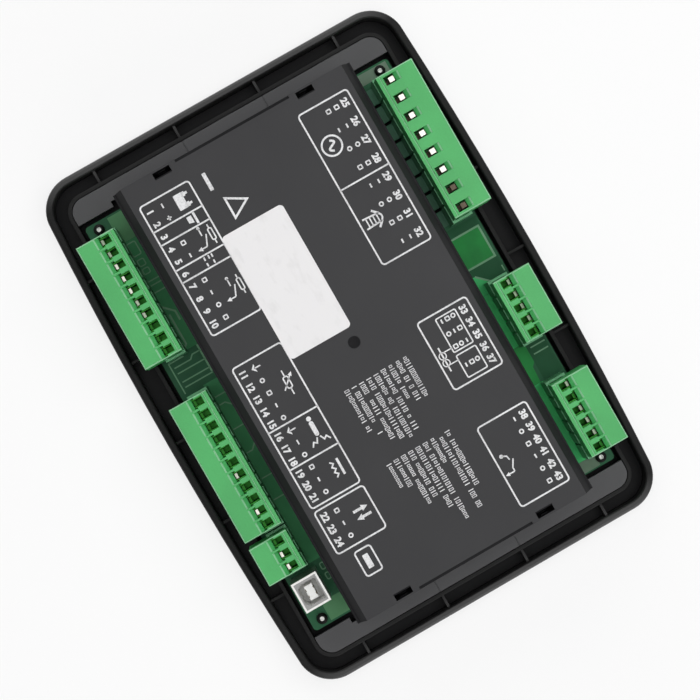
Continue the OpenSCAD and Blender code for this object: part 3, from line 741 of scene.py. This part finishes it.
def exchangeSign(ink, x, y):
    ink.arrow((x - 1.5, y - 2.9), (x - 1.5, y + 2.9), 1.0, 2.4)
    ink.arrow((x + 1.5, y + 2.9), (x + 1.5, y - 2.9), 1.0, 2.4)


def hornSign(ink, x, y):
    ink.line([(x - 2.2, y + 1.4), (x + 2.2, y + 1.4)], 0.9)
    ink.plate([(x - 1.6, y - 1.6), (x + 0.8, y - 1.6), (x + 1.3, y + 0.3), (x - 1.6, y + 0.3)])


def pairSign(ink, x, y):
    for dx, dy in ((-1.1, 1.6), (-1.1, 0.3), (1.2, 1.3), (-1.1, -1.4), (1.2, -1.4)):
        ink.plate(roundedBox(x + dx - 0.7, x + dx + 0.7, y + dy - 0.3, y + dy + 0.3, 0.2))


def earthSign(ink, x, y):
    ink.line([(x, y + 1.8), (x, y - 0.4)], signLine)
    ink.plate([(x - 1.6, y - 0.2), (x, y - 1.7), (x + 1.6, y - 0.2), (x + 0.8, y - 0.2), (x, y - 0.7),
               (x - 0.8, y - 0.2)])


def minusSign(ink, x, y):
    ink.line([(x - plusLook["half"], y), (x + plusLook["half"], y)], plusLook["line"])


def plusSign(ink, x, y):
    minusSign(ink, x, y)
    ink.line([(x, y - plusLook["half"]), (x, y + plusLook["half"])], plusLook["line"])


# each terminal's own mark: a small ring, square or bar
def poleMark(ink, x, y, kind):
    if kind == 0:
        ink.circle(x, y, 0.72, 0.5, 12)
    elif kind == 1:
        ink.frame(x - 0.68, x + 0.68, y - 0.72, y + 0.72, 0.15, 0.48)
    else:
        ink.line([(x - 0.8, y), (x + 0.8, y)], 0.6)


signPlaces = [
    (acSign, -65.1, 28.2), (mastSign, -34.5, 28.1), (ringCoilSign, 21.6, 26.0), (contactSign, 65.5, 26.6),
    (batterySign, -74.4, -27.3), (hornSign, -66.8, -28.4), (fuseSign, -59.0, -27.9), (pairSign, -51.2, -30.2),
    (fuseSign, -38.4, -27.9), (senderSign, 0.6, -27.7), (pickupSign, 20.3, -27.8), (busSign, 36.0, -27.8),
    (exchangeSign, 54.2, -27.7), (minusSign, -76.3, -35.2), (plusSign, -71.3, -35.2),
    (earthSign, -9.6, -35.0), (earthSign, 16.1, -35.2), (minusSign, 21.0, -35.2),
]
# mark rows: first terminal in the row, count, height on the cover
markRows = [
    (25, 8, 36.5), (25, 8, 33.2), (38, 6, 36.3), (4, 2, -35.3), (7, 4, -35.3), (12, 4, -35.3), (18, 1, -35.3),
    (19, 3, -35.3), (22, 3, -35.3),
]
# two boxes with a column of marks under each terminal, or one between the last two
coilLook = {"ends": ((7.5, 21.1), (22.5, 31.4)), "low": 29.3, "high": 37.3, "corner": 0.5,
            "columns": ((33,), (34,), (35,), (36, 37)), "marks": 3, "top": 35.6, "step": 2.3}


def printSigns():
    ink = coverSheet()
    for draw, x, y in signPlaces:
        draw(ink, x, y)
    for x0, x1 in coilLook["ends"]:
        ink.frame(x0, x1, coilLook["low"], coilLook["high"], coilLook["corner"], coverPrint["fine"])
    for first, count, y in markRows:
        for number in range(first, first + count):
            poleMark(ink, poleX(number), y, number % 3)
    for numbers in coilLook["columns"]:
        x = sum(poleX(number) for number in numbers) / len(numbers)
        for row in range(coilLook["marks"]):
            poleMark(ink, x, coilLook["top"] - coilLook["step"] * row, (numbers[0] + row) % 3)
    return ink.done("print_signs", inkFinish, "case", "label")


# two blocks of rows made of small strokes and boxes

tableLook = {
    "blocks": (  # where a block starts, its seed, and how long each row is
        (14.0, 11, (14.6, 15.6, 13.0, 24.1, 24.4, 23.7, 22.1, 18.6, 16.6)),
        (44.3, 23, (21.8, 28.7, 9.7, 29.6, 23.8, 18.0, 19.0, 10.2, 9.1))),
    "top": 13.0, "rowStep": 3.0, "strokeStep": 1.25, "height": 2.0, "stroke": 0.36, "gap": 0.1,
    "boxWide": 0.36, "boxTall": (0.82, 0.5), "seedStep": 31,
}


def growTree(name, sizes):
    tree = bpy.data.node_groups.new(name, "GeometryNodeTree")
    tree.interface.new_socket("Geometry", in_out="OUTPUT", socket_type="NodeSocketGeometry")
    for label, kind in sizes.items():
        tree.interface.new_socket(label, in_out="INPUT", socket_type="NodeSocket" + kind)
    source = tree.nodes.new("NodeGroupInput")
    wires = {label: Wire(tree, source.outputs[label]) for label in sizes}
    return Graph(tree), wires


def endTree(graph, geometry):
    whole = graph.node("GeometryNodeRealizeInstances", sockets={0: geometry})
    dressed = graph.node("GeometryNodeSetMaterial", sockets={
        "Geometry": whole, "Material": Wire(graph.tree, graph.tree.nodes["Group Input"].outputs["Finish"])})
    sink = graph.tree.nodes.new("NodeGroupOutput")
    graph.tree.links.new(dressed.socket, sink.inputs[0])
    return graph.tree


def grown(tree, sizes, spot):
    holder = linked("seed", bpy.data.meshes.new("seed"))
    modifier = holder.modifiers.new("grow", "NODES")
    modifier.node_group = tree
    for item in tree.interface.items_tree:
        if item.in_out == "INPUT":
            modifier[item.identifier] = sizes[item.name]
    shape = plainMesh(holder)
    shape.transform(Matrix.Translation(Vector(spot) * mm))
    return shape


def strokeRowTree():
    graph, size = growTree("strokeRow", {
        "Count": "Int", "Step": "Float", "Height": "Float", "Stroke": "Float", "Thickness": "Float",
        "Gap": "Float", "Seed": "Int", "Finish": "Material"})
    row = graph.node("GeometryNodeMeshLine", sockets={
        "Count": size["Count"], "Offset": graph.node("ShaderNodeCombineXYZ", sockets={"X": size["Step"]})})
    space = graph.node("FunctionNodeRandomValue", {"data_type": "FLOAT"}, {
        2: 0.0, 3: 1.0, "Seed": size["Seed"] + 5}, 1)
    kept = graph.node("GeometryNodeDeleteGeometry", sockets={
        "Geometry": row, "Selection": space < size["Gap"]})
    stroke = graph.node("ShaderNodeCombineXYZ", sockets={
        "X": size["Stroke"], "Y": size["Height"], "Z": size["Thickness"]})
    section = graph.node("GeometryNodeCurvePrimitiveQuadrilateral", sockets={
        "Width": size["Stroke"], "Height": size["Thickness"]})
    shapes = [graph.node("GeometryNodeMeshCube", sockets={"Size": stroke})]
    for tall in tableLook["boxTall"]:
        path = graph.node("GeometryNodeCurvePrimitiveQuadrilateral", sockets={
            "Width": size["Height"] * tableLook["boxWide"], "Height": size["Height"] * tall})
        shapes.append(graph.node("GeometryNodeCurveToMesh", sockets={
            "Curve": path, "Profile Curve": section}))
    choice = graph.tree.nodes.new("GeometryNodeGeometryToInstance")
    for shape in shapes:
        graph.tree.links.new(shape.socket, choice.inputs[0])
    pick = graph.node("FunctionNodeRandomValue", {"data_type": "INT"}, {
        4: 0, 5: len(shapes) - 1, "Seed": size["Seed"] + 9}, 2)
    placed = graph.node("GeometryNodeInstanceOnPoints", sockets={
        "Points": kept, "Instance": Wire(graph.tree, choice.outputs[0]), "Pick Instance": True,
        "Instance Index": pick})
    return endTree(graph, placed)


def printTable():
    tree = strokeRowTree()
    look = tableLook
    ink = coverSheet()
    for x0, seed, lengths in look["blocks"]:
        for row, length in enumerate(lengths):
            shape = grown(tree, {
                "Count": round(length / look["strokeStep"]) + 1, "Step": look["strokeStep"] * mm,
                "Height": look["height"] * mm, "Stroke": look["stroke"] * mm,
                "Thickness": (ink.high - ink.low) * mm, "Gap": look["gap"],
                "Seed": seed + look["seedStep"] * row, "Finish": inkFinish,
            }, (x0, look["top"] - row * look["rowStep"], (ink.low + ink.high) / 2))
            ink.mesh.from_mesh(shape)
            bpy.data.meshes.remove(shape)
    return ink.done("print_table", inkFinish, "case", "label")


# three small marks: a bar, a triangle and a socket outline
marksLook = {
    "bar": (-79.3, -72.3, -17.6, -16.2), "triangle": [(-67.7, -14.6), (-63.7, -7.7), (-59.7, -14.6)],
    "triangleLine": 0.8, "outline": (65.4, 75.2, -37.6, -31.2), "outlineLine": 0.6,
    "opening": (67.6, 73.0, -35.6, -33.4),
}


def printMarks():
    ink = coverSheet()
    ink.plate(roundedBox(*marksLook["bar"], 0.2))
    ink.line(marksLook["triangle"], marksLook["triangleLine"], closed=True)
    ink.frame(*marksLook["outline"], 1.0, marksLook["outlineLine"])
    ink.plate(roundedBox(*marksLook["opening"], 0.3))
    return ink.done("print_marks", inkFinish, "case", "label")


# layers on the board, where the bays show it, from the lowest up: boxes (x0, x1, y0, y1) and outlines

layerLook = {"root": 0.02, "step": 0.008, "lineTop": 0.06, "edge": 0.75, "trace": 0.5, "pad": 0.45,
             "padCorner": 0.6, "stripEnds": (46.0, 56.0), "stripGap": 0.7}
boardAreas = {
    "bare": [(-18.9, -15.2, 46.0, 65.2), (-1.7, 9.4, 46.0, 65.2), (32.4, 48.4, 57.0, 65.2)],
    # the bay, slot, dusty and corner areas are patches of painted light
    "bay": [(-75.5, -28.9, -56.2, -48.5), (-14.2, 64.0, -56.2, -48.5)],
    "pour": [(-15.0, -1.9, 46.0, 64.2),
             [(32.5, 46.0), (48.4, 46.0), (48.4, 55.3), (42.0, 55.6), (40.5, 57.0), (32.5, 57.0)]],
    "slot": [[(1.4, 46.0), (9.4, 46.0), (9.4, 57.8), (5.6, 57.8), (1.4, 53.4)],
             (9.5, 32.4, 46.0, 56.4), (48.5, 82.4, 46.0, 56.4)],
    "dusty": [(-86.8, -75.6, -56.4, -49.0), (79.0, 86.8, -58.4, -50.0)],
    "corner": [(-86.8, -82.4, 46.0, 64.6), (82.5, 87.0, 46.0, 59.4)],
}
pourEdges = [
    [(-15.0, 46.0), (-15.0, 64.2), (-1.9, 64.2), (-1.9, 46.0)],
    [(1.4, 53.4), (5.6, 57.8)],
    [(-28.8, -50.6), (-17.2, -50.6)],
    [(-47.4, -55.0), (-43.8, -51.4), (-40.0, -51.4)],
    [(-43.6, -54.0), (-31.0, -54.0), (-28.6, -56.4)],
]
traces = [
    [(-58.2, -50.0), (-58.2, -54.8)], [(-56.4, -50.0), (-56.4, -54.8)], [(-53.4, -50.0), (-53.4, -54.8)],
    [(-26.4, -50.6), (-26.4, -54.0), (-25.0, -55.4), (-25.0, -62.4)],
    [(-22.6, -50.6), (-22.6, -62.4)], [(-19.0, -50.6), (-19.0, -62.4)], [(-16.8, -50.6), (-16.8, -62.4)],
    [(-27.4, -57.2), (-27.4, -63.6), (-14.6, -63.6)],
    [(-8.0, -50.0), (-8.0, -54.6)], [(-2.4, -50.0), (-4.6, -52.2), (-4.6, -54.6)],
    [(6.0, -50.0), (6.0, -54.6)], [(14.0, -50.0), (16.2, -52.2), (16.2, -54.6)],
    [(27.4, -50.0), (27.4, -54.6)], [(36.6, -50.0), (36.6, -54.6)],
    [(2.4, 64.6), (4.8, 64.6)], [(35.2, 58.4), (35.2, 64.6)], [(38.0, 58.4), (38.0, 64.6)],
]
partPads = [(-74.4, -69.0, -55.0, -51.6), (-67.2, -64.6, -54.6, -52.0), (-63.4, -61.2, -54.6, -52.0),
            (66.0, 68.6, -51.8, -50.2), (70.2, 72.8, -51.8, -50.2)]


# strips between the slots of the wide row, board painted lighter as light in the shade under the plug
def slotStrips():
    low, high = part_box("plug_8")
    wide = next(group for group in groups if group["plug"] == "8")
    middle = (low.x + high.x) / 2 / mm
    slots = [middle + (i - wide["poles"] / 2) * wide["spacing"] for i in range(wide["poles"] + 1)]
    gap = layerLook["stripGap"]
    return [(x0 + gap, x1 - gap, *layerLook["stripEnds"]) for x0, x1 in zip(slots, slots[1:])]


def boxOutline(x0, x1, y0, y1):
    return [(x0, y0), (x1, y0), (x1, y1), (x0, y1)]


def boardLayers():
    look = layerLook
    made = []
    for i, (name, areas) in enumerate([*boardAreas.items(), ("strip", slotStrips())]):
        sheet = Sheet(boardTop - look["root"], boardTop + look["step"] * (i + 1))
        for area in areas:
            sheet.plate(area if isinstance(area, list) else boxOutline(*area))
        made.append(sheet.done("board_" + name, boards[name], "case", "board"))
    lines = Sheet(boardTop - look["root"], boardTop + look["lineTop"])
    for route in pourEdges:
        lines.line(route, look["edge"])
    for route in traces:
        lines.line(route, look["trace"])
    for pad in partPads:
        lines.frame(*pad, look["padCorner"], look["pad"])
    made.append(lines.done("board_traces", boards["trace"], "case", "board"))
    return made


# front: rings and frames on the film, a sign on each key, all facing down

frontPrint = {
    "low": -0.03, "high": 0.02, "line": 0.5, "sign": 0.9, "keyRoom": 1.8, "frameCorner": 3.0,
    "arrow": {"tip": 1.8, "foot": 1.4, "half": 2.0},
}
modeKeys = ["key_stop", "key_manual", "key_auto", "key_mute", "key_start"]
menuKeys = ["key_up", "key_down", "key_left", "key_right"]
# pieces that share a frame, and the room round them
framed = [(menuKeys, 0.6), (["display_window"], 0.2), (["light_pipes"], 1.8)]


def faceSheet(node):
    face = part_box(node)[0].z / mm
    return Sheet(face + frontPrint["low"], face + frontPrint["high"])


def spanOf(*names):
    boxes = [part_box(name) for name in names]
    return [edge / mm for edge in (min(low.x for low, high in boxes), max(high.x for low, high in boxes),
                                   min(low.y for low, high in boxes), max(high.y for low, high in boxes))]


def middleOf(*names):
    x0, x1, y0, y1 = spanOf(*names)
    return (x0 + x1) / 2, (y0 + y1) / 2


def filmPrint():
    ink = faceSheet("fascia_film")
    for node in modeKeys:
        x0, x1, y0, y1 = spanOf(node)
        ink.circle(*middleOf(node), (x1 - x0) / 2 + frontPrint["keyRoom"], frontPrint["line"])
    for names, room in framed:
        x0, x1, y0, y1 = spanOf(*names)
        ink.frame(x0 - room, x1 + room, y0 - room, y1 + room, frontPrint["frameCorner"], frontPrint["line"])
    return ink.done("front_print", inkFinish, "case", "film")


def stopSign(ink, x, y):
    ink.circle(x, y, 3.0, frontPrint["sign"])


def startSign(ink, x, y):
    ink.line([(x, y - 3.0), (x, y + 3.0)], frontPrint["sign"])


def manualSign(ink, x, y):
    ink.frame(x - 2.6, x + 2.6, y - 2.6, y + 2.6, 0.6, frontPrint["sign"])


def autoSign(ink, x, y):
    ink.line(arc(x, y, 2.8, 120, 420, 20), frontPrint["sign"])
    ink.plate([(x + 2.9, y + 3.4), (x - 0.1, y + 2.9), (x + 2.0, y + 0.9)])


def muteSign(ink, x, y):
    ink.plate([(x - 2.4, y - 1.0), (x - 0.6, y - 1.0), (x + 1.6, y - 2.8), (x + 1.6, y + 2.8),
               (x - 0.6, y + 1.0), (x - 2.4, y + 1.0)])


keySigns = dict(zip(modeKeys, (stopSign, manualSign, autoSign, muteSign, startSign)))


# menu keys get a triangle that points away from the middle of the four
def menuSign(ink, x, y):
    look = frontPrint["arrow"]
    middle = Vector((x, y))
    away = (middle - Vector(middleOf(*menuKeys))).normalized()
    across = Vector((-away.y, away.x)) * look["half"]
    foot = middle - away * look["foot"]
    ink.plate([tuple(middle + away * look["tip"]), tuple(foot + across), tuple(foot - across)])


# white on the red and the green key, dark on the others
def keyPrint(node):
    ink = faceSheet(node)
    keySigns.get(node, menuSign)(ink, *middleOf(node))
    finish = inkFinish if node in ("key_stop", "key_start") else filmFinish
    return ink.done(node + "_sign", finish, node + "_body", "label")


printed = [filmPrint()] + [keyPrint(node) for node in modeKeys + menuKeys] + boardLayers()
printed += [make() for make in (printFrames, printNumbers, printSigns, printTable, printMarks)]
for piece in printed:
    print(piece.name, len(piece.data.polygons), "faces")


# stage, light and camera

stageLook = {"size": 6.0, "white": (0.86, 0.86, 0.86), "pale": (0.90, 0.90, 0.90), "selfLit": 0.75,
             "backHigh": 1.5, "backSides": 64}


# shows white where the camera, a reflection or clear plastic looks at it
def seenWhite(finish, under, share):
    path = finish.tree.nodes.new("ShaderNodeLightPath")
    camera, glossy, through = (Wire(finish.tree, path.outputs[name]) for name in
                               ("Is Camera Ray", "Is Glossy Ray", "Is Transmission Ray"))
    white = finish.node("ShaderNodeEmission", sockets={"Color": (1, 1, 1), "Strength": 1.0})
    shown = finish.node("ShaderNodeMixShader", sockets={
        0: (camera + glossy + through) * share, 1: under, 2: white})
    finish.tree.links.new(shown.socket, finish.tree.nodes["Material Output"].inputs[0])


def setStage(name, made, finish):
    made.materials.append(finish.material)
    piece = linked(name, made)


def paleFloor():
    made = bpy.data.meshes.new("floor")
    half = stageLook["size"] / 2
    made.from_pydata([(x, y, 0) for x, y in boxOutline(-half, half, -half, half)], [], [(0, 1, 2, 3)])
    finish = Finish("floorPaper", shine=0.2, rough=0.9)
    finish.set(colour=finish.blend(finish.noise(2.0), stageLook["white"], stageLook["pale"]))
    seenWhite(finish, Wire(finish.tree, finish.shader.outputs[0]), stageLook["selfLit"])
    setStage("floor", made, finish)


# a ring of white paper round the floor, which lets the room's light through
def paleBackdrop():
    made = bpy.data.meshes.new("backdrop")
    sides = stageLook["backSides"]
    ring = arc(0, 0, stageLook["size"] / 2, 0, 360 - 360 / sides, sides - 1)
    made.from_pydata([(x, y, high) for high in (0.0, stageLook["backHigh"]) for x, y in ring], [], [
        (i, (i + 1) % sides, sides + (i + 1) % sides, sides + i) for i in range(sides)])
    finish = Finish("backPaper")
    seenWhite(finish, finish.node("ShaderNodeBsdfTransparent"), 1.0)
    setStage("backdrop", made, finish)


roomLight = 0.14  # even light from all round
lampLook = [
    {"name": "nearEnd", "place": (1.5, 0.1, 0.9), "size": 1.1, "watts": 9.5},
    {"name": "farEnd", "place": (-1.5, 0.1, 0.9), "size": 1.1, "watts": 9.5},
    {"name": "overhead", "place": (0.0, 0.1, 1.6), "size": 1.6, "watts": 13.0},
    {"name": "upperSide", "place": (0.0, 0.42, 0.55), "size": 0.3, "watts": 0.9},
    {"name": "lowerSide", "place": (0.0, -0.5, 0.6), "size": 0.3, "watts": 0.5},
]


def studioLight():
    world = bpy.data.worlds.new("studio")
    bpy.context.scene.world = world
    world.use_nodes = True
    back = world.node_tree.nodes["Background"]
    back.inputs["Color"].default_value = (1, 1, 1, 1)
    back.inputs["Strength"].default_value = roomLight
    for look in lampLook:
        light = bpy.data.lights.new(look["name"], "AREA")
        light.shape = "SQUARE"
        light.size = look["size"]
        light.energy = look["watts"]
        lamp = linked(look["name"], light)
        lamp.location = look["place"]
        lamp.rotation_euler = (-Vector(look["place"])).to_track_quat("-Z", "Y").to_euler()  # faces the object


# the camera stands almost straight above, turned about the view
cameraLook = {"eye": (-0.0009, -0.0228, 0.6111), "tilt": -2.03, "lean": -0.26, "turn": 60.18,
              "lens": 81.67, "sensor": 36.0, "nearest": 0.01}


def photoCamera():
    lens = bpy.data.cameras.new("camera")
    lens.sensor_width = cameraLook["sensor"]
    lens.lens = cameraLook["lens"]
    lens.clip_start = cameraLook["nearest"]
    down = Matrix.Diagonal((1, -1, -1))
    turn, lean, tilt = (Matrix.Rotation(math.radians(cameraLook[name]), 3, axis)
                        for name, axis in (("turn", "Z"), ("lean", "Y"), ("tilt", "X")))
    facing = (down @ turn @ lean @ tilt @ down).transposed()
    camera = linked("camera", lens)
    camera.matrix_world = Matrix.Translation(cameraLook["eye"]) @ facing.to_4x4()
    bpy.context.scene.camera = camera


paleFloor()
paleBackdrop()
studioLight()
photoCamera()
bpy.context.scene.view_settings.view_transform = "Standard"
print("stage, light and camera")
